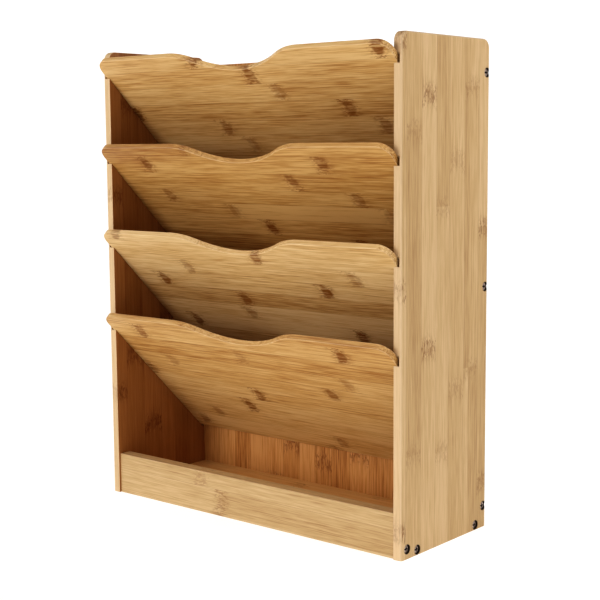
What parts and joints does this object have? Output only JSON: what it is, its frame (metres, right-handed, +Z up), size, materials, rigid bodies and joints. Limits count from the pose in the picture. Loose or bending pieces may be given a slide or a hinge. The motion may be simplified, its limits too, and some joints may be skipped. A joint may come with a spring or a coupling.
{
  "type": "desktop file sorter",
  "caption": "Bamboo desktop file sorter: an upright open-fronted carcass with sloped sliding dividers that have finger dips.",
  "frame": {"origin": "middle of the underside, halfway across and halfway between the side panels' front and back edges", "axes": "+X to the right of someone facing the open front, +Y to the back panel, +Z up"},
  "size_m": [0.334, 0.1375, 0.41],
  "materials": {
    "bamboo_side": "satin",
    "bamboo_back": "satin",
    "bamboo_base": "satin",
    "bamboo_rail": "satin",
    "bamboo_divider": "satin",
    "screw_steel": "satin"
  },
  "bodies": {
    "carcass": {"left_side_panel": "bamboo_side", "right_side_panel": "bamboo_side", "back_panel": "bamboo_back", "base_board": "bamboo_base", "front_rail": "bamboo_rail", "rail_screw_left": "screw_steel", "base_front_screw_left": "screw_steel", "base_rear_screw_left": "screw_steel", "back_low_screw_left": "screw_steel", "back_middle_screw_left": "screw_steel", "back_top_screw_left": "screw_steel", "rail_screw_right": "screw_steel", "base_front_screw_right": "screw_steel", "base_rear_screw_right": "screw_steel", "back_low_screw_right": "screw_steel", "back_middle_screw_right": "screw_steel", "back_top_screw_right": "screw_steel"},
    "divider_bottom_board": {"divider_bottom": "bamboo_divider"},
    "divider_lower_board": {"divider_lower": "bamboo_divider"},
    "divider_upper_board": {"divider_upper": "bamboo_divider"},
    "divider_top_board": {"divider_top": "bamboo_divider"}
  },
  "joints": [
    {"name": "divider_bottom_slide", "type": "slide", "parent": "carcass", "child": "divider_bottom_board", "axis": [0, -0.7133, 0.7009], "range_m": [0, 0.147]},
    {"name": "divider_lower_slide", "type": "slide", "parent": "carcass", "child": "divider_lower_board", "axis": [0, -0.7133, 0.7009], "range_m": [0, 0.147]},
    {"name": "divider_upper_slide", "type": "slide", "parent": "carcass", "child": "divider_upper_board", "axis": [0, -0.7133, 0.7009], "range_m": [0, 0.147]},
    {"name": "divider_top_slide", "type": "slide", "parent": "carcass", "child": "divider_top_board", "axis": [0, -0.7133, 0.7009], "range_m": [0, 0.147]}
  ]
}
